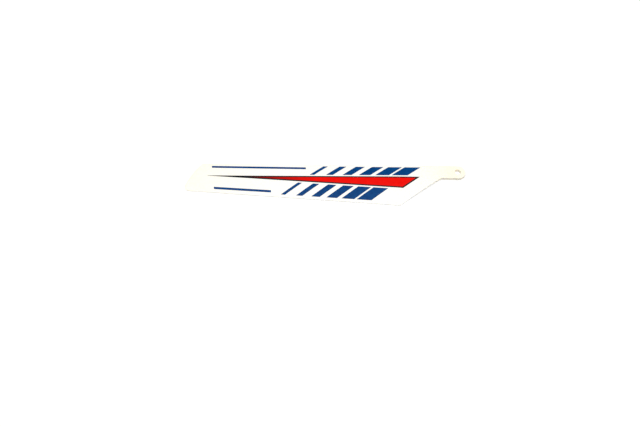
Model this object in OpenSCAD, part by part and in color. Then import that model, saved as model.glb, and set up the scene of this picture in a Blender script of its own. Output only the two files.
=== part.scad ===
// Moulded rotor blade of a small model helicopter, lying printed face up.
// The bolt hole's axis is Z, the tip points along -X and the leading edge faces +Y.
// The tab's underside and the trailing edge lie on Z = 0.

/* [Root tab] */
// Width of the root tab
tab_w = 8.8; // [7:0.1:11]
// Thickness of the root tab
tab_t = 1.8; // [1.5:0.1:2.6]
// Reach of the tab from the bolt hole to the start of the root cut
tab_len = 9.8; // [9:0.1:14]
// Reach of the flat part of the tab from the bolt hole
flat_len = 7; // [5:0.5:8]
// Reach at which the tab has run out into the blade's section
blend_reach = 18; // [14:0.5:28]
// Diameter of the bolt hole, a clearance hole for an M3 bolt
bore_d = 3.4; // [2.2:0.1:4.2]
// Radius of the inside corner between the tab and the root cut
root_cut_r = 3; // [1:0.5:5]

/* [Planform] */
// Reach of the tip from the bolt hole
tip_reach = 154.4; // [135:0.2:175]
// Reach of the trailing corner at the root
corner_reach = 34.5; // [30:0.5:45]
// Chord at that corner, where the blade is widest
root_chord = 27.8; // [24:0.2:34]
// Chord of the trailing edge's line at the tip
tip_chord = 19.1; // [17:0.1:23]
// Length of the raked tip along the span
rake_len = 11; // [9:0.1:15]
// Radius of the rake's curve
rake_r = 78; // [50:1:110]
// Radius of the tip's leading corner
lead_corner_r = 4; // [2:0.5:6]
// Radius of the tip's trailing corner
tip_corner_r = 2.6; // [1.2:0.1:3.2]
// Radius of the trailing corner at the root
root_corner_r = 2; // [1:0.5:4]

/* [Section] */
// Greatest thickness of the root section
root_t = 1.9; // [1.5:0.1:2.6]
// Greatest thickness of the tip section
tip_t = 1.15; // [1:0.05:1.5]
// Thickness of the blunt nose at the leading edge
nose_t = 0.2; // [0.1:0.05:0.4]
// Thickness of the trailing edge
edge_t = 0.4; // [0.3:0.05:0.8]
// Pitch at the root, leading edge up
root_pitch = 2.5; // [1.5:0.5:6]
// Pitch at the tip
tip_pitch = 1.5; // [0.5:0.5:4]
// Height of the camber line over the chord
camber = 0.03; // [0.01:0.005:0.05]

/* [Print] */
// Thickness of the printed film
film_t = 0.05; // [0.03:0.01:0.1]
// Gap of the film over the true surface, so that it clears the facets
film_gap = 0.02; // [0.015:0.005:0.04]
// Distance along the span from the root cut to the band's root end
band_inset = 12; // [9:0.5:20]
// Distance along the span from the band's point to the start of the raked tip
point_inset = 2; // [1:0.5:20]
// Width of the red field at the band's root end
band_w = 6.5; // [5:0.5:10]
// Place of the band's middle line, as a share of the chord
band_at = 0.46; // [0.4:0.01:0.52]
// Width of the black edging round the red field
edging_w = 0.8; // [0.3:0.1:1]
// Gap between the red field and its edging
edging_gap = 0.02; // [0.01:0.01:0.05]
// Number of blue bars on each side of the band
bar_count = 6; // [3:1:6]
// Distance along the span from the root cut to the first blue bar
bars_inset = 20; // [18:1:30]
// Width of the first blue bar along the span
bar_w = 9; // [4:0.5:9.5]
// Step from each bar to the next along the span
bar_step = 10.5; // [10:0.5:11]
// Gap between the bars and the band's edging
bar_gap = 0.9; // [0.5:0.1:1.5]
// Share of the chord left white along both edges
white_margin = 0.07; // [0.06:0.01:0.1]
// Distance along the span from the blue lines' ends to the start of the raked tip
lines_inset = 5; // [3:0.5:15]
// Width of the blue lines
line_w = 1.4; // [0.6:0.1:1.6]

/* [Hidden] */

// Facets of the bore, the section, the span, the corners, the tip and the film
$fn = 64;
chord_steps = 20;
span_step = 5;
cut_step = 2;
corner_step = 0.5;
tip_steps = 14;
film_step = 4;
// Divisions across the red field, along and across each bar, and across each line
field_across = 8;
bar_along = 3;
bar_across = 6;
line_across = 2;
// Half the angle of the tip corner's arc that ends the loft as a flat
tip_flat = 20;
// Width left at the band's point
point_w = 0.1;
// Length by which the bore's cutter passes each face
bore_over = 1;
blue = [0.07, 0.25, 0.48];

lead_y = tab_w / 2;
cut_start = [-tab_len, -tab_w / 2];
root_corner = [-corner_reach, lead_y - root_chord];
taper = -(root_chord - tip_chord) / (tip_reach - corner_reach);
slant = (cut_start.x - root_corner.x) / (cut_start.y - root_corner.y);

// Straight line of the trailing edge, carried on past both ends
function trail_line(x) = root_corner.y + taper * (x - root_corner.x);
function full_chord(x) = lead_y - trail_line(x);
function clamp(v) = min(1, max(0, v));
function smooth(v) = let (k = clamp(v)) k * k * (3 - 2 * k);
function mix(a, b, k) = a + (b - a) * k;
function unit(v) = v / norm(v);

// Half height of a circle's chord at x, for an arc that is read as a function of x
function arc_rise(x, centre, r) = sqrt(max(0, r * r - (x - centre.x) * (x - centre.x)));

// Centre of an arc that rounds the corner between two directions
function fillet_centre(corner, way_a, way_b, r) =
    let (half = acos(way_a * way_b) / 2)
    corner + unit(way_a + way_b) * r / sin(half);
function fillet_reach(way_a, way_b, r) = r / tan(acos(way_a * way_b) / 2);

// Root cut with its two rounded corners
cut_way = unit(root_corner - cut_start);
trail_way = unit([-1, -taper]);
inner_arc = fillet_centre(cut_start, [1, 0], cut_way, root_cut_r);
inner_reach = fillet_reach([1, 0], cut_way, root_cut_r);
outer_arc = fillet_centre(root_corner, -cut_way, trail_way, root_corner_r);
outer_reach = fillet_reach(-cut_way, trail_way, root_corner_r);
inner_from = cut_start.x + inner_reach;
inner_to = cut_start.x + inner_reach * cut_way.x;
outer_from = root_corner.x - outer_reach * cut_way.x;
outer_to = root_corner.x + outer_reach * trail_way.x;

// Raked tip: an arc from the leading edge that runs into the small trailing corner
tip_arc = let (x = -tip_reach + tip_corner_r * cos(tip_flat))
    [x, trail_line(x) + tip_corner_r * norm([1, taper])];
rake_start = [-tip_reach + rake_len, lead_y];
rake_arc = let (
    across = norm(tip_arc - rake_start),
    way = (tip_arc - rake_start) / across,
    inner = rake_r - tip_corner_r,
    along = (rake_r * rake_r - inner * inner + across * across) / (2 * across),
    off = sqrt(rake_r * rake_r - along * along)
) rake_start + along * way + off * [-way.y, way.x];
lead_arc = let (
    y = lead_y - lead_corner_r,
    inner = rake_r - lead_corner_r
) [rake_arc.x - sqrt(inner * inner - (y - rake_arc.y) * (y - rake_arc.y)), y];
lead_meet = rake_arc + rake_r * unit(lead_arc - rake_arc);
tip_meet = rake_arc + rake_r * unit(tip_arc - rake_arc);
trail_meet = tip_arc.x + tip_corner_r * taper / norm([1, taper]);

// Leading edge, as y over x
function lead(x) =
    x >= lead_arc.x ? lead_y
    : x >= lead_meet.x ? lead_arc.y + arc_rise(x, lead_arc, lead_corner_r)
    : x >= tip_meet.x ? rake_arc.y + arc_rise(x, rake_arc, rake_r)
    : tip_arc.y + arc_rise(x, tip_arc, tip_corner_r);

// Tab's rear side, root cut and trailing edge, as y over x
function trail(x) =
    x >= inner_from ? cut_start.y
    : x >= inner_to ? inner_arc.y + arc_rise(x, inner_arc, root_cut_r)
    : x >= outer_from ? cut_start.y + (x - cut_start.x) / slant
    : x >= outer_to ? outer_arc.y - arc_rise(x, outer_arc, root_corner_r)
    : x >= trail_meet ? trail_line(x)
    : tip_arc.y - arc_rise(x, tip_arc, tip_corner_r);

// Twisted, cambered section: 0 is the flat tab and 1 the full blade
function bladeness(x) = smooth((-x - flat_len) / (blend_reach - flat_len));
function outboard(x) = clamp((-x - corner_reach) / (tip_reach - corner_reach));
function pitch(x) = mix(root_pitch, tip_pitch, outboard(x));
function tip_share(x) = (lead(x) - trail(x)) / (lead_y - trail(x));
function thickest(x) = mix(root_t, tip_t, outboard(x)) * sqrt(tip_share(x));

// Half thickness of the four-digit family of sections, 0.5 at its thickest
function section_form(s) =
    5 * (0.2969 * sqrt(s) - 0.126 * s - 0.3516 * s * s + 0.2843 * s * s * s - 0.1036 * s * s * s * s);
function half_thick(x, s) =
    let (edge = mix(nose_t, edge_t, s))
    mix(tab_t / 2, edge / 2 + (thickest(x) - edge) * section_form(s), bladeness(x));

// Middle surface, from the whole chord, so that the root cut and the rake only trim it
function middle(x, y) =
    let (u = (lead_y - y) / full_chord(x))
    mix(
        tab_t / 2,
        edge_t / 2 + tan(pitch(x)) * (y - trail_line(x)) + 4 * camber * full_chord(x) * u * (1 - u),
        bladeness(x)
    );
function share(x, y) = clamp((lead(x) - y) / (lead(x) - trail(x)));
function upper_face(x, y) = middle(x, y) + half_thick(x, share(x, y));

// Stations along the span, close together where the outline turns
function between(a, b, step) =
    let (n = ceil(abs(b - a) / step))
    [for (i = [1:n]) mix(a, b, i / n)];
stations = concat(
    [0, -flat_len],
    between(-flat_len, inner_from, cut_step),
    between(inner_from, inner_to, corner_step),
    between(inner_to, outer_from, cut_step),
    between(outer_from, outer_to, corner_step),
    between(outer_to, lead_arc.x, span_step),
    [for (i = [1:tip_steps]) mix(lead_arc.x, -tip_reach, sin(90 * i / tip_steps))]
);

function ring(x) = let (
    y_lead = lead(x),
    y_trail = trail(x),
    shares = [for (i = [0:chord_steps]) (1 - cos(180 * i / chord_steps)) / 2],
    ys = [for (s = shares) mix(y_lead, y_trail, s)]
) concat(
    [for (i = [0:chord_steps]) [x, ys[i], middle(x, ys[i]) + half_thick(x, shares[i])]],
    [for (i = [chord_steps:-1:0]) [x, ys[i], middle(x, ys[i]) - half_thick(x, shares[i])]]
);

// Skin over rings of equal length, closed at both ends
module loft(rings) {
    size = len(rings[0]);
    last = len(rings) - 1;
    half = size / 2;
    sides = [for (r = [0:last - 1], i = [0:size - 1])
        let (a = r * size + i, b = r * size + (i + 1) % size)
        each [[a, b, b + size], [a, b + size, a + size]]];
    caps = [for (i = [0:half - 2])
        let (a = i, b = i + 1, c = size - 2 - i, d = size - 1 - i, e = last * size)
        each [[a, c, b], [a, d, c], [e + a, e + b, e + c], [e + a, e + c, e + d]]];
    polyhedron([for (r = rings) each r], concat(sides, caps));
}

// Film on the upper face over rows of places in plan. Rows step towards +X and places in a row
// towards -Y, or the rows go round a closed ring, each from its outside to its inside.
module film(rows, closed = false) {
    count = len(rows);
    across = len(rows[0]) - 1;
    row = across + 1;
    low = [for (r = rows, p = r) [p.x, p.y, upper_face(p.x, p.y) + film_gap]];
    high = [for (p = low) p + [0, 0, film_t]];
    top = len(low);
    flats = [for (a = [0:count - (closed ? 1 : 2)], b = [0:across - 1])
        let (p = a * row + b, q = (a + 1) % count * row + b)
        each [[p, p + 1, q + 1], [p, q + 1, q],
              [top + p, top + q + 1, top + p + 1], [top + p, top + q, top + q + 1]]];
    outside = [for (a = [count - 1:-1:0]) a * row];
    inside = [for (a = [0:count - 1]) a * row + across];
    start = [for (b = [0:across]) b];
    finish = [for (b = [across:-1:0]) (count - 1) * row + b];
    rims = closed ? [outside, inside]
        : [concat(start, [for (i = [1:count - 2]) inside[i]], finish, [for (i = [1:count - 2]) outside[i]])];
    walls = [for (rim = rims, i = [0:len(rim) - 1])
        let (p = rim[i], q = rim[(i + 1) % len(rim)])
        each [[p, top + p, top + q], [p, top + q, q]]];
    polyhedron(concat(low, high), concat(flats, walls));
}

// Lines of the print, as y over x. The ends and bars lean with the root cut, and a leaning line
// is named by its x at the leading edge.
function chord_y(x, u) = lead_y - u * full_chord(x);
function lean_place(lean, line) =
    let (
        at = line(0),
        rise = line(1) - at,
        y = (at + rise * (lean - slant * lead_y)) / (1 - rise * slant)
    )
    [lean + slant * (y - lead_y), y];
cut_lean = cut_start.x - slant * (cut_start.y - lead_y);
rake_reach = tip_reach - rake_len;

// Band: its outline, and the red field that starts where the black point is wide enough for it
band_end = cut_lean - band_inset;
band_point = -rake_reach + point_inset;
band_line = function(x) chord_y(x, band_at);
band_root = lean_place(band_end, band_line).x;
band_rise = (band_w / 2 + edging_w - point_w / 2) / (band_root - band_point);
function band_half(x) = point_w / 2 + band_rise * (x - band_point);
function band_edge(side, inset) = function(x) band_line(x) + side * (band_half(x) - inset);
function edge_run(inset) = inset * norm([1, slant]);

// Places along one side of the band, from its point to its leaning root end
function band_side(side, inset, steps) =
    let (
        line = band_edge(side, inset),
        from = band_point + inset / band_rise,
        to = lean_place(band_end - edge_run(inset), line).x
    )
    [for (i = [0:steps]) let (x = mix(from, to, i / steps)) [x, line(x)]];

// Leaning bar between two lines
function bar_rows(lean, width, line_a, line_b) =
    [for (a = [0:bar_along])
        let (
            at = lean - width * (1 - a / bar_along),
            p = lean_place(at, line_a),
            q = lean_place(at, line_b)
        )
        [for (b = [0:bar_across]) mix(p, q, b / bar_across)]];

module blade() {
    color([0.98, 0.97, 0.92])
    difference() {
        union() {
            loft([for (x = stations) ring(x)]);
            cylinder(h = tab_t, d = tab_w);
        }
        translate([0, 0, -bore_over])
            cylinder(h = tab_t + 2 * bore_over, d = bore_d);
    }
}

band_steps = ceil((band_root - band_point) / film_step);

module red_band() {
    front = band_side(1, edging_w + edging_gap, band_steps);
    rear = band_side(-1, edging_w + edging_gap, band_steps);
    color([0.93, 0.07, 0.03])
        film([for (i = [0:band_steps])
            [for (b = [0:field_across]) mix(front[i], rear[i], b / field_across)]]);
}

module band_edging() {
    sides = [for (side = [1, -1]) [for (inset = [0, edging_w]) band_side(side, inset, band_steps)]];
    front = [for (i = [0:band_steps]) [sides[0][0][i], sides[0][1][i]]];
    rear = [for (i = [band_steps:-1:0]) [sides[1][0][i], sides[1][1][i]]];
    end = [for (b = [1:field_across - 1]) mix(front[band_steps], rear[0], b / field_across)];
    color([0.06, 0.06, 0.07])
        film(concat(front, end, rear), closed = true);
}

module blue_bars() {
    front = [function(x) chord_y(x, white_margin), band_edge(1, -bar_gap)];
    rear = [band_edge(-1, -bar_gap), function(x) chord_y(x, 1 - white_margin)];
    color(blue)
    for (i = [0:bar_count - 1], lines = [front, rear]) {
        width = bar_w * (1 - i / (bar_count + 1));
        film(bar_rows(cut_lean - bars_inset - i * bar_step, width, lines[0], lines[1]));
    }
}

module blue_lines() {
    lean = cut_lean - bars_inset - bar_count * bar_step;
    tip_x = -rake_reach + lines_inset;
    color(blue)
    for (u = [2 * white_margin, 1 - 2 * white_margin]) {
        root_x = lean_place(lean, function(x) chord_y(x, u)).x;
        steps = ceil((root_x - tip_x) / film_step);
        film([for (i = [0:steps])
            let (x = mix(tip_x, root_x, i / steps))
            [for (b = [0:line_across]) [x, chord_y(x, u) + line_w * (0.5 - b / line_across)]]]);
    }
}

blade();
red_band();
band_edging();
blue_bars();
blue_lines();
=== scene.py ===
import math
from typing import NamedTuple

import bpy
import numpy as np
from mathutils import Matrix, Vector


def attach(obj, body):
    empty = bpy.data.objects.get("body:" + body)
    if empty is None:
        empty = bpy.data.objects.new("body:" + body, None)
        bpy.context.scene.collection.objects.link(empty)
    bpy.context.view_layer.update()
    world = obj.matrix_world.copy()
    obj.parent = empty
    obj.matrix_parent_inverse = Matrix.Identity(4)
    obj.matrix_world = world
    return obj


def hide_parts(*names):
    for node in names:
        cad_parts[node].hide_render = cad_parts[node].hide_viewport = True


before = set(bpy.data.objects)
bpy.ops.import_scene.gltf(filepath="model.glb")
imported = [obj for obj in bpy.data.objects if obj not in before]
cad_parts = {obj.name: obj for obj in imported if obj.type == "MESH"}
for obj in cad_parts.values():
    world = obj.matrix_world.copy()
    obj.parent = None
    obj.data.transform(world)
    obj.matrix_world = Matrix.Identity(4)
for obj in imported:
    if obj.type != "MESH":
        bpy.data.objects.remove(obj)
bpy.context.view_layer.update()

# Lengths are in mm, as in the part's source, and turn into metres where Blender takes them
MM = 0.001

# Root tab
TAB_W = 8.8
TAB_T = 1.8
TAB_LEN = 9.8
FLAT_LEN = 7.0
BLEND_REACH = 18.0
BORE_R = 1.7
ROOT_CUT_R = 3.0

# Planform
TIP_REACH = 154.4
CORNER_REACH = 34.5
ROOT_CHORD = 27.8
TIP_CHORD = 19.1
RAKE_LEN = 11.0
RAKE_R = 78.0
LEAD_CORNER_R = 4.0
TIP_CORNER_R = 2.6
ROOT_CORNER_R = 2.0
TIP_FLAT = math.radians(20)

# Section. CAMBER is a share of the chord.
ROOT_T = 1.9
TIP_T = 1.15
NOSE_T = 0.2
EDGE_T = 0.4
ROOT_PITCH = math.radians(2.5)
TIP_PITCH = math.radians(1.5)
CAMBER = 0.03

# Print. BAND_AT and WHITE_MARGIN are shares of the chord.
FILM_T = 0.05
FILM_GAP = 0.02
BAND_INSET = 12.0
POINT_INSET = 2.0
POINT_W = 0.1
BAND_W = 6.5
BAND_AT = 0.46
EDGING_W = 0.8
BAR_COUNT = 6
BARS_INSET = 20.0
BAR_W = 9.0
BAR_STEP = 10.5
BAR_GAP = 0.9
WHITE_MARGIN = 0.07
LINES_INSET = 5.0
LINE_W = 1.4

# Rounding of the moulded edges, and the bore's chamfer
TAB_EDGE_R = 0.25
LEAD_EDGE_R = 0.2
TRAIL_EDGE_R = 0.05
BORE_CHAMFER = 0.15
# Share of an edge's thickness that each of its two roundings takes
TAB_EDGE_SHARE = TAB_EDGE_R / TAB_T
LEAD_EDGE_SHARE = 0.48
TRAIL_EDGE_SHARE = 0.1
# Lift of the ink's underside from the blade
FILM_LIFT = 0.004

# Fineness of the meshes: lengths of steps, and numbers of them
SPAN_STEP = 1.5
CUT_STEP = 0.7
CORNER_STEP = 0.2
FILM_STEP = 0.8
CHORD_STEPS = 44
TIP_STEPS = 30
EDGE_STEPS = 5
TAB_SIDE_STEPS = 10
TAB_END_STEPS = 60
FIELD_STEPS = 16
STRIPE_STEPS = 3
BAR_STEPS_ALONG = 10
BAR_STEPS_ACROSS = 18
# Rings on the tab's faces, as shares of the way from its outline to the bore's chamfer
TAB_RINGS = (0.06, 0.5, 0.94, 1)
# Edges that turn more than this are shaded sharp
SHARP_ANGLE = math.radians(40)


def mix(a, b, k):
    return a + (b - a) * k


def clamp(v):
    return min(1.0, max(0.0, v))


def unit(v):
    return v / np.linalg.norm(v)


def place(x, y):
    return np.array([x, y], float)


def between(a, b, step):
    """Even places from a to b, without a."""
    n = math.ceil(abs(b - a) / step)
    return [mix(a, b, i / n) for i in range(1, n + 1)]


def across(a, b, steps):
    """Even places from a to b, with both."""
    return [mix(a, b, i / steps) for i in range(steps + 1)]


# Outline in plan
LEAD_Y = TAB_W / 2
CUT_START = place(-TAB_LEN, -TAB_W / 2)
ROOT_CORNER = place(-CORNER_REACH, LEAD_Y - ROOT_CHORD)
TAPER = -(ROOT_CHORD - TIP_CHORD) / (TIP_REACH - CORNER_REACH)
TAPER_RUN = math.hypot(1, TAPER)
SLANT = (CUT_START[0] - ROOT_CORNER[0]) / (CUT_START[1] - ROOT_CORNER[1])


def trail_line(x):
    """Straight line of the trailing edge, carried on past both ends."""
    return ROOT_CORNER[1] + TAPER * (x - ROOT_CORNER[0])


def full_chord(x):
    return LEAD_Y - trail_line(x)


def fillet(corner, way_a, way_b, r):
    """Centre of the arc that rounds a corner, and its reach along both ways."""
    half = math.acos(way_a @ way_b) / 2
    return corner + unit(way_a + way_b) * r / math.sin(half), r / math.tan(half)


CUT_WAY = unit(ROOT_CORNER - CUT_START)
TRAIL_WAY = unit(place(-1, -TAPER))
INNER_ARC, INNER_REACH = fillet(CUT_START, place(1, 0), CUT_WAY, ROOT_CUT_R)
OUTER_ARC, OUTER_REACH = fillet(ROOT_CORNER, -CUT_WAY, TRAIL_WAY, ROOT_CORNER_R)
INNER_FROM = CUT_START[0] + INNER_REACH
INNER_TO = CUT_START[0] + INNER_REACH * CUT_WAY[0]
OUTER_FROM = ROOT_CORNER[0] - OUTER_REACH * CUT_WAY[0]
OUTER_TO = ROOT_CORNER[0] + OUTER_REACH * TRAIL_WAY[0]


def rake_centre():
    """Centre of the rake's arc, which leaves the leading edge and meets the tip's trailing corner."""
    start = place(-TIP_REACH + RAKE_LEN, LEAD_Y)
    reach = np.linalg.norm(TIP_ARC - start)
    way = (TIP_ARC - start) / reach
    inner = RAKE_R - TIP_CORNER_R
    along = (RAKE_R ** 2 - inner ** 2 + reach ** 2) / (2 * reach)
    off = math.sqrt(RAKE_R ** 2 - along ** 2)
    return start + along * way + off * place(-way[1], way[0])


TIP_X = -TIP_REACH + TIP_CORNER_R * math.cos(TIP_FLAT)
TIP_ARC = place(TIP_X, trail_line(TIP_X) + TIP_CORNER_R * TAPER_RUN)
RAKE_ARC = rake_centre()
LEAD_ARC_Y = LEAD_Y - LEAD_CORNER_R
LEAD_ARC_RUN = math.sqrt((RAKE_R - LEAD_CORNER_R) ** 2 - (LEAD_ARC_Y - RAKE_ARC[1]) ** 2)
LEAD_ARC = place(RAKE_ARC[0] - LEAD_ARC_RUN, LEAD_ARC_Y)
LEAD_MEET = RAKE_ARC + RAKE_R * unit(LEAD_ARC - RAKE_ARC)
TIP_MEET = RAKE_ARC + RAKE_R * unit(TIP_ARC - RAKE_ARC)
TRAIL_MEET = TIP_ARC[0] + TIP_CORNER_R * TAPER / TAPER_RUN


def arc_edge(x, centre, r, side, hollow=False):
    """Place on an arc and its outward way. side is 1 for the arc's +Y half and -1 for the other."""
    rise = math.sqrt(max(0.0, r * r - (x - centre[0]) ** 2))
    at = place(x, centre[1] + side * rise)
    out = (at - centre) / r
    return at, -out if hollow else out


def lead_edge(x):
    """Place on the leading edge or the rake, and its outward way."""
    if x >= LEAD_ARC[0]:
        return place(x, LEAD_Y), place(0, 1)
    if x >= LEAD_MEET[0]:
        return arc_edge(x, LEAD_ARC, LEAD_CORNER_R, 1)
    if x >= TIP_MEET[0]:
        return arc_edge(x, RAKE_ARC, RAKE_R, 1)
    return arc_edge(x, TIP_ARC, TIP_CORNER_R, 1)


def trail_edge(x):
    """Place on the tab's rear side, the root cut or the trailing edge, and its outward way."""
    if x >= INNER_FROM:
        return place(x, CUT_START[1]), place(0, -1)
    if x >= INNER_TO:
        return arc_edge(x, INNER_ARC, ROOT_CUT_R, 1, hollow=True)
    if x >= OUTER_FROM:
        return place(x, CUT_START[1] + (x - CUT_START[0]) / SLANT), place(-CUT_WAY[1], CUT_WAY[0])
    if x >= OUTER_TO:
        return arc_edge(x, OUTER_ARC, ROOT_CORNER_R, -1)
    if x >= TRAIL_MEET:
        return place(x, trail_line(x)), place(TAPER, -1) / TAPER_RUN
    return arc_edge(x, TIP_ARC, TIP_CORNER_R, -1)


# Stations along the span, close together where the outline turns
STATIONS = (
    [-FLAT_LEN]
    + between(-FLAT_LEN, INNER_FROM, CUT_STEP)
    + between(INNER_FROM, INNER_TO, CORNER_STEP)
    + between(INNER_TO, OUTER_FROM, CUT_STEP)
    + between(OUTER_FROM, OUTER_TO, CORNER_STEP)
    + between(OUTER_TO, LEAD_ARC[0], SPAN_STEP)
    + [mix(LEAD_ARC[0], -TIP_REACH, math.sin(t)) for t in across(0, math.pi / 2, TIP_STEPS)[1:]]
)


# Twisted, cambered section
def bladeness(x):
    """0 on the flat tab and 1 on the full blade."""
    k = clamp((-x - FLAT_LEN) / (BLEND_REACH - FLAT_LEN))
    return k * k * (3 - 2 * k)


def section_form(s):
    """Half thickness of the four-digit family of sections, 0.5 at its thickest."""
    return 5 * (0.2969 * math.sqrt(s) - 0.126 * s - 0.3516 * s ** 2 + 0.2843 * s ** 3 - 0.1036 * s ** 4)


def faces_at(x, y):
    """Heights of the upper and the lower face."""
    outboard = clamp((-x - CORNER_REACH) / (TIP_REACH - CORNER_REACH))
    lead_y = lead_edge(x)[0][1]
    trail_y = trail_edge(x)[0][1]
    k = bladeness(x)
    # Middle surface, from the whole chord
    pitch = mix(ROOT_PITCH, TIP_PITCH, outboard)
    chord = full_chord(x)
    u = (LEAD_Y - y) / chord
    middle = EDGE_T / 2 + math.tan(pitch) * (y - trail_line(x)) + 4 * CAMBER * chord * u * (1 - u)
    middle = mix(TAB_T / 2, middle, k)
    # Thickness, from the chord that the root cut and the rake leave
    tip_share = (lead_y - trail_y) / (LEAD_Y - trail_y)
    thickest = mix(ROOT_T, TIP_T, outboard) * math.sqrt(tip_share)
    s = clamp((lead_y - y) / (lead_y - trail_y))
    edge = mix(NOSE_T, EDGE_T, s)
    half = mix(TAB_T / 2, edge / 2 + (thickest - edge) * section_form(s), k)
    return middle + half, middle - half


class Skin:
    """Points in mm and faces of one piece."""

    def __init__(self):
        self.points = []
        self.faces = []

    def put(self, at, z):
        """Adds a point and gives its number."""
        self.points.append((at[0], at[1], z))
        return len(self.points) - 1

    def strip(self, ring, following, closed=True):
        """Quads between two rows of equal length, which are rings if closed."""
        n = len(ring)
        for i in range(n if closed else n - 1):
            j = (i + 1) % n
            self.faces.append((ring[i], ring[j], following[j], following[i]))

    def piece(self, name, node, slot, material):
        """Makes the object that stands for a node of the frame."""
        mesh = bpy.data.meshes.new(name)
        mesh.from_pydata([tuple(v * MM for v in p) for p in self.points], [], self.faces)
        mesh.validate()
        mesh.shade_smooth()
        mesh.set_sharp_from_angle(angle=SHARP_ANGLE)
        mesh.materials.append(material)
        obj = bpy.data.objects.new(name, mesh)
        bpy.context.scene.collection.objects.link(obj)
        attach(obj, "root")
        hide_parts(node)


# Moulded blade
class Edge(NamedTuple):
    """Place on the rim: its upper and lower point, its outward way, its radius and its rounding's share."""
    top: int
    low: int
    out: np.ndarray
    r: float
    share: float


def span_faces(skin, shares):
    """Upper and lower face over all stations: their first and last rows, and both long edges."""
    tops, lows, lead_rim, trail_rim = [], [], [], []
    for x in STATIONS:
        k = bladeness(x)
        lead_r = mix(TAB_EDGE_R, LEAD_EDGE_R, k)
        trail_r = mix(TAB_EDGE_R, TRAIL_EDGE_R, k)
        lead_share = mix(TAB_EDGE_SHARE, LEAD_EDGE_SHARE, k)
        trail_share = mix(TAB_EDGE_SHARE, TRAIL_EDGE_SHARE, k)
        lead_at, lead_out = lead_edge(x)
        trail_at, trail_out = trail_edge(x)
        first = lead_at - lead_out * lead_r
        last = trail_at - trail_out * trail_r
        row = [mix(first, last, s) for s in shares]
        heights = [faces_at(*p) for p in row]
        top = [skin.put(p, z[0]) for p, z in zip(row, heights)]
        low = [skin.put(p, z[1]) for p, z in zip(row, heights)]
        tops.append(top)
        lows.append(low)
        lead_rim.append(Edge(top[0], low[0], lead_out, lead_r, lead_share))
        trail_rim.append(Edge(top[-1], low[-1], trail_out, trail_r, trail_share))
    for i in range(len(STATIONS) - 1):
        skin.strip(tops[i + 1], tops[i], closed=False)
        skin.strip(lows[i], lows[i + 1], closed=False)
    return (tops[0], lows[0]), (tops[-1], lows[-1]), lead_rim, trail_rim


def tab_edges(skin):
    """Rim of the flat tab, from its rear side round its end to its front side."""
    inset = TAB_W / 2 - TAB_EDGE_R
    sides = across(-FLAT_LEN, 0, TAB_SIDE_STEPS)[1:-1]
    turns = across(-math.pi / 2, math.pi / 2, TAB_END_STEPS)
    ways = [place(math.cos(t), math.sin(t)) for t in turns]
    tab = [(place(x, -inset), place(0, -1)) for x in sides]
    tab += [(way * inset, way) for way in ways]
    tab += [(place(x, inset), place(0, 1)) for x in reversed(sides)]
    return [Edge(skin.put(at, TAB_T), skin.put(at, 0), out, TAB_EDGE_R, TAB_EDGE_SHARE) for at, out in tab]


def tip_edges(tops, lows, shares):
    """Rim of the flat that ends the tip, between the two long edges."""
    rim = []
    for top, low, s in list(zip(tops, lows, shares))[1:-1]:
        r = mix(LEAD_EDGE_R, TRAIL_EDGE_R, s) * math.cos(TIP_FLAT)
        rim.append(Edge(top, low, place(-1, 0), r, mix(LEAD_EDGE_SHARE, TRAIL_EDGE_SHARE, s)))
    return rim


def round_rim(skin, rim):
    """Wall with two rounded edges, once round the whole outline."""
    turns = across(0, math.pi / 2, EDGE_STEPS)[1:]
    profiles = []
    for edge in rim:
        x, y, z_top = skin.points[edge.top]
        z_low = skin.points[edge.low][2]
        drop = edge.share * (z_top - z_low)
        outer = [place(x, y) + edge.out * edge.r * math.sin(t) for t in turns]
        falls = [drop * (1 - math.cos(t)) for t in turns]
        down = [skin.put(at, z_top - fall) for at, fall in zip(outer, falls)]
        up = [skin.put(at, z_low + fall) for at, fall in zip(outer, falls)]
        profiles.append([edge.top] + down + up[::-1] + [edge.low])
    for profile, following in zip(profiles, profiles[1:] + profiles[:1]):
        skin.strip(profile, following, closed=False)


def bored_tab(skin, top_outline, low_outline):
    """Faces of the tab from its outline to the bore, and the bore with its two chamfers."""
    loops = []
    for outline, z_face, z_wall in (
        (top_outline, TAB_T, TAB_T - BORE_CHAMFER),
        (low_outline, 0, BORE_CHAMFER),
    ):
        ends = [place(*skin.points[i][:2]) for i in outline]
        rings = [outline]
        for share in TAB_RINGS:
            rings.append([skin.put(mix(p, unit(p) * (BORE_R + BORE_CHAMFER), share), z_face) for p in ends])
        rings.append([skin.put(unit(p) * BORE_R, z_wall) for p in ends])
        loops.append(rings)
    path = loops[0] + loops[1][::-1]
    for ring, following in zip(path, path[1:]):
        skin.strip(ring, following)


def blade_skin():
    skin = Skin()
    shares = [(1 - math.cos(t)) / 2 for t in across(0, math.pi, CHORD_STEPS)]
    root, tip, lead_rim, trail_rim = span_faces(skin, shares)
    tab_rim = tab_edges(skin)
    round_rim(skin, lead_rim + tip_edges(*tip, shares) + trail_rim[::-1] + tab_rim)
    bored_tab(skin, root[0] + [edge.top for edge in tab_rim], root[1] + [edge.low for edge in tab_rim])
    return skin


# Lines of the print, as y over x. A leaning line is named by its x at the leading edge.
def chord_line(u):
    return lambda x: LEAD_Y - u * full_chord(x)


def lean_place(lean, line):
    """Place where a leaning line crosses another line of the print."""
    at = line(0)
    rise = line(1) - at
    y = (at + rise * (lean - SLANT * LEAD_Y)) / (1 - rise * SLANT)
    return place(lean + SLANT * (y - LEAD_Y), y)


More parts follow.
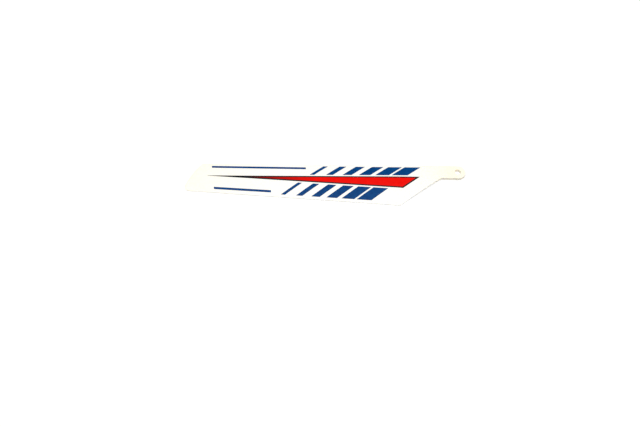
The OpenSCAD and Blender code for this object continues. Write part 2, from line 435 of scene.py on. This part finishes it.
CUT_LEAN = CUT_START[0] - SLANT * (CUT_START[1] - LEAD_Y)
RAKE_REACH = TIP_REACH - RAKE_LEN
BAND_END = CUT_LEAN - BAND_INSET
BAND_POINT = -RAKE_REACH + POINT_INSET
BAND_LINE = chord_line(BAND_AT)
BAND_ROOT = lean_place(BAND_END, BAND_LINE)[0]
BAND_RISE = (BAND_W / 2 + EDGING_W - POINT_W / 2) / (BAND_ROOT - BAND_POINT)
BAND_STEPS = math.ceil((BAND_ROOT - BAND_POINT) / FILM_STEP)


def band_edge(side, inset):
    return lambda x: BAND_LINE(x) + side * (POINT_W / 2 + BAND_RISE * (x - BAND_POINT) - inset)


def band_side(side, inset):
    """Places along one side of the band, from its point to its leaning root end."""
    line = band_edge(side, inset)
    start = BAND_POINT + inset / BAND_RISE
    end = lean_place(BAND_END - inset * math.hypot(1, SLANT), line)[0]
    return [place(x, line(x)) for x in across(start, end, BAND_STEPS)]


# Patches of ink, as rows of places in plan that step to +X, each from +Y to -Y, or that go round a ring
def red_patches():
    front = band_side(1, EDGING_W)
    rear = band_side(-1, EDGING_W)
    return [[across(a, b, FIELD_STEPS) for a, b in zip(front, rear)]]


def edging_patches():
    front = list(zip(band_side(1, 0), band_side(1, EDGING_W)))
    rear = list(zip(band_side(-1, 0), band_side(-1, EDGING_W)))[::-1]
    outside = across(front[-1][0], rear[0][0], FIELD_STEPS)
    inside = across(front[-1][1], rear[0][1], FIELD_STEPS)
    end = list(zip(outside, inside))[1:-1]
    return [[across(a, b, STRIPE_STEPS) for a, b in front + end + rear]]


def bar_patches():
    sides = (
        (chord_line(WHITE_MARGIN), band_edge(1, -BAR_GAP)),
        (band_edge(-1, -BAR_GAP), chord_line(1 - WHITE_MARGIN)),
    )
    patches = []
    for i in range(BAR_COUNT):
        width = BAR_W * (1 - i / (BAR_COUNT + 1))
        lean = CUT_LEAN - BARS_INSET - i * BAR_STEP
        leans = across(lean - width, lean, BAR_STEPS_ALONG)
        for line_a, line_b in sides:
            ends = [(lean_place(v, line_a), lean_place(v, line_b)) for v in leans]
            patches.append([across(a, b, BAR_STEPS_ACROSS) for a, b in ends])
    return patches


def line_patches():
    lean = CUT_LEAN - BARS_INSET - BAR_COUNT * BAR_STEP
    tip_x = -RAKE_REACH + LINES_INSET
    half = place(0, LINE_W / 2)
    patches = []
    for u in (2 * WHITE_MARGIN, 1 - 2 * WHITE_MARGIN):
        line = chord_line(u)
        root_x = lean_place(lean, line)[0]
        middle = [place(x, line(x)) for x in [tip_x] + between(tip_x, root_x, FILM_STEP)]
        patches.append([across(p + half, p - half, STRIPE_STEPS) for p in middle])
    return patches


def laid(skin, rows, lift):
    """Rows of points at one height over the upper face."""
    return [[skin.put(p, faces_at(*p)[0] + lift) for p in row] for row in rows]


def film_skin(patches, closed=False):
    """Film of ink over the upper face, with walls all round. Its patches are rings if closed."""
    skin = Skin()
    for rows in patches:
        high = laid(skin, rows, FILM_GAP + FILM_T)
        low = laid(skin, rows, FILM_LIFT)
        n = len(rows)
        for i in range(n if closed else n - 1):
            j = (i + 1) % n
            skin.strip(high[i], high[j], closed=False)
            skin.strip(low[j], low[i], closed=False)
        first = [(top[0], base[0]) for top, base in zip(high, low)]
        last = [(top[-1], base[-1]) for top, base in zip(high, low)]
        if closed:
            rims = [first[::-1], last]
        else:
            start = list(zip(high[0], low[0]))
            finish = list(zip(high[-1], low[-1]))
            rims = [start[:-1] + last[:-1] + finish[:0:-1] + first[:0:-1]]
        for rim in rims:
            skin.strip([base for top, base in rim], [top for top, base in rim])
    return skin


# Tones of the plastic along the span, by their shares of the way from the tab's end to the tip
PLASTIC_TONES = [
    (0.06, (0.91, 0.855, 0.715)),
    (0.12, (0.9, 0.87, 0.785)),
    (0.2, (0.88, 0.865, 0.82)),
    (0.7, (0.88, 0.865, 0.82)),
    (0.97, (0.9, 0.865, 0.765)),
]
# Shades of the red along the band, by their shares of the way from its point to its root end
RED_SHADES = [(0.2, (0.1, 1, 1)), (0.33, (0.45, 1, 1)), (0.52, (1, 1, 1))]
# Values between which a noise mostly lies
NOISE_LOW = 0.3
NOISE_HIGH = 0.7
# Depth of the fine bumps
BUMP_DEPTH = 0.01
PLASTIC_IOR = 1.5


def new_material(name):
    material = bpy.data.materials.new(name)
    material.use_nodes = True
    tree = material.node_tree
    return material, tree, tree.nodes["Principled BSDF"]


def noise(tree, scale, detail=3.0, stretch=(1, 1, 1)):
    """Noise in the part's own frame; scale is in waves per metre."""
    nodes, links = tree.nodes, tree.links
    where = nodes.new("ShaderNodeTexCoord")
    mapping = nodes.new("ShaderNodeMapping")
    mapping.inputs["Scale"].default_value = stretch
    texture = nodes.new("ShaderNodeTexNoise")
    texture.inputs["Scale"].default_value = scale
    texture.inputs["Detail"].default_value = detail
    links.new(where.outputs["Object"], mapping.inputs["Vector"])
    links.new(mapping.outputs["Vector"], texture.inputs["Vector"])
    return texture.outputs["Fac"]


def along_span(tree, start, end):
    """Share of the way along the span between two places in mm, in the part's own frame."""
    where = tree.nodes.new("ShaderNodeTexCoord")
    axes = tree.nodes.new("ShaderNodeSeparateXYZ")
    node = tree.nodes.new("ShaderNodeMapRange")
    node.inputs["From Min"].default_value = start * MM
    node.inputs["From Max"].default_value = end * MM
    tree.links.new(where.outputs["Object"], axes.inputs["Vector"])
    tree.links.new(axes.outputs["X"], node.inputs["Value"])
    return node.outputs["Result"]


def ramp(tree, source, stops):
    """Colours by a value, from stops of a value and a colour."""
    node = tree.nodes.new("ShaderNodeValToRGB")
    elements = node.color_ramp.elements
    while len(elements) < len(stops):
        elements.new(0.5)
    for element, (at, colour) in zip(elements, stops):
        element.position = at
        element.color = (*colour, 1)
    tree.links.new(source, node.inputs["Fac"])
    return node.outputs["Color"]


def mottled(tree, source, dark, light):
    return ramp(tree, source, [(NOISE_LOW, dark), (NOISE_HIGH, light)])


def multiply(tree, colour_a, colour_b):
    node = tree.nodes.new("ShaderNodeMix")
    node.data_type = "RGBA"
    node.blend_type = "MULTIPLY"
    node.inputs["Factor"].default_value = 1
    tree.links.new(colour_a, node.inputs["A"])
    tree.links.new(colour_b, node.inputs["B"])
    return node.outputs["Result"]


def roughen(tree, shader, source, low, high):
    """Roughness that a noise spreads between two values."""
    node = tree.nodes.new("ShaderNodeMapRange")
    node.inputs["From Min"].default_value = NOISE_LOW
    node.inputs["From Max"].default_value = NOISE_HIGH
    node.inputs["To Min"].default_value = low
    node.inputs["To Max"].default_value = high
    tree.links.new(source, node.inputs["Value"])
    tree.links.new(node.outputs["Result"], shader.inputs["Roughness"])


def bump(tree, shader, source, strength):
    node = tree.nodes.new("ShaderNodeBump")
    node.inputs["Strength"].default_value = strength
    node.inputs["Distance"].default_value = BUMP_DEPTH * MM
    tree.links.new(source, node.inputs["Height"])
    tree.links.new(node.outputs["Normal"], shader.inputs["Normal"])


def plastic():
    material, tree, shader = new_material("ivory_plastic")
    tone = ramp(tree, along_span(tree, TAB_W / 2, -TIP_REACH), PLASTIC_TONES)
    clouds = noise(tree, scale=60, stretch=(0.4, 1, 1))
    mottle = mottled(tree, clouds, (0.985, 0.985, 0.975), (1, 1, 1))
    tree.links.new(multiply(tree, tone, mottle), shader.inputs["Base Color"])
    shader.inputs["Subsurface Weight"].default_value = 0.15
    shader.inputs["Subsurface Radius"].default_value = (1.0, 0.85, 0.55)
    shader.inputs["Subsurface Scale"].default_value = 0.8 * MM
    shader.inputs["IOR"].default_value = PLASTIC_IOR
    shader.inputs["Specular IOR Level"].default_value = 0.15
    roughen(tree, shader, noise(tree, scale=500), low=0.24, high=0.36)
    bump(tree, shader, noise(tree, scale=5000, detail=2.0), strength=0.25)
    return material


def ink(name, dark, light, low, high, shades=None):
    """Printing ink with mottled colour and roughness. With shades it darkens along the band."""
    material, tree, shader = new_material(name)
    colour = mottled(tree, noise(tree, scale=400), dark, light)
    if shades:
        colour = multiply(tree, colour, ramp(tree, along_span(tree, BAND_POINT, BAND_ROOT), shades))
    tree.links.new(colour, shader.inputs["Base Color"])
    shader.inputs["IOR"].default_value = PLASTIC_IOR
    shader.inputs["Specular IOR Level"].default_value = 0.05
    roughen(tree, shader, noise(tree, scale=900), low, high)
    bump(tree, shader, noise(tree, scale=3500, detail=2.0), strength=0.3)
    return material


ivory = plastic()
red = ink("red_ink", (0.68, 0.003, 0.001), (0.76, 0.005, 0.002), low=0.26, high=0.38, shades=RED_SHADES)
black = ink("black_ink", (0.008, 0.008, 0.009), (0.016, 0.016, 0.018), low=0.3, high=0.42)
blue = ink("blue_ink", (0.001, 0.036, 0.144), (0.002, 0.054, 0.194), low=0.28, high=0.4)

blade_skin().piece("moulded_blade", "blade", "blade_plastic", ivory)
film_skin(red_patches()).piece("red_field", "red_band", "red_print", red)
film_skin(edging_patches(), closed=True).piece("black_edging", "band_edging", "black_print", black)
film_skin(bar_patches()).piece("blue_bar_print", "blue_bars", "blue_print", blue)
film_skin(line_patches()).piece("blue_line_print", "blue_lines", "blue_print", blue)

# Studio, in metres
FLOOR_HALF = 3.0
LAMP_AT = (0.05, -0.06, 1.5)
LAMP_LENGTH = 2.4
LAMP_WIDTH = 1.4
LAMP_WATTS = 39
ROOM_STRENGTH = 0.1


def add_floor():
    """Pale floor that gives off light of its own, so that shadows stay faint."""
    mesh = bpy.data.meshes.new("floor")
    corners = [(-1, -1), (1, -1), (1, 1), (-1, 1)]
    mesh.from_pydata([(x * FLOOR_HALF, y * FLOOR_HALF, 0) for x, y in corners], [], [(0, 1, 2, 3)])
    material, _, shader = new_material("white_floor")
    shader.inputs["Base Color"].default_value = (0.5, 0.5, 0.5, 1)
    shader.inputs["Emission Color"].default_value = (1, 1, 1, 1)
    shader.inputs["Emission Strength"].default_value = 0.46
    shader.inputs["Roughness"].default_value = 0.9
    shader.inputs["Specular IOR Level"].default_value = 0.1
    mesh.materials.append(material)
    floor = bpy.data.objects.new("floor", mesh)
    bpy.context.scene.collection.objects.link(floor)


def add_light():
    """Soft light from the room and from one large lamp that faces straight down."""
    world = bpy.data.worlds.new("studio")
    world.use_nodes = True
    background = world.node_tree.nodes["Background"]
    background.inputs["Color"].default_value = (1, 1, 1, 1)
    background.inputs["Strength"].default_value = ROOM_STRENGTH
    bpy.context.scene.world = world
    lamp = bpy.data.lights.new("soft_lamp", "AREA")
    lamp.shape = "RECTANGLE"
    lamp.size = LAMP_LENGTH
    lamp.size_y = LAMP_WIDTH
    lamp.energy = LAMP_WATTS
    obj = bpy.data.objects.new("soft_lamp", lamp)
    obj.location = LAMP_AT
    bpy.context.scene.collection.objects.link(obj)


# View, from the fit of the outline and of the tab's bore to the photograph
ELEVATION = math.radians(50)
TURN = math.radians(13.77)
ROLL = math.radians(11.34)
MM_PER_PIXEL = 0.5585
IMAGE_W = 640
IMAGE_H = 427
BORE_PIXEL = (457.7, 172.0)
LENS = 400.0
SENSOR = 36.0


def add_camera():
    """Camera that puts the bore's upper end at its pixel."""
    level = Vector((math.cos(TURN), -math.sin(TURN), 0))
    upward = Vector((
        math.sin(ELEVATION) * math.sin(TURN),
        math.sin(ELEVATION) * math.cos(TURN),
        math.cos(ELEVATION),
    ))
    right = math.cos(ROLL) * level + math.sin(ROLL) * upward
    up = -math.sin(ROLL) * level + math.cos(ROLL) * upward
    back = right.cross(up)
    distance = MM_PER_PIXEL * LENS / SENSOR * IMAGE_W
    centre = Vector((0, 0, TAB_T))
    centre += right * (IMAGE_W / 2 - BORE_PIXEL[0]) * MM_PER_PIXEL
    centre += up * (BORE_PIXEL[1] - IMAGE_H / 2) * MM_PER_PIXEL
    camera = bpy.data.cameras.new("camera")
    camera.lens = LENS
    camera.sensor_width = SENSOR
    camera.sensor_fit = "HORIZONTAL"
    obj = bpy.data.objects.new("camera", camera)
    turned = Matrix((right, up, back)).transposed().to_4x4()
    obj.matrix_world = Matrix.Translation((centre + back * distance) * MM) @ turned
    bpy.context.scene.collection.objects.link(obj)
    bpy.context.scene.camera = obj


add_floor()
add_light()
add_camera()
bpy.context.scene.view_settings.view_transform = "Standard"
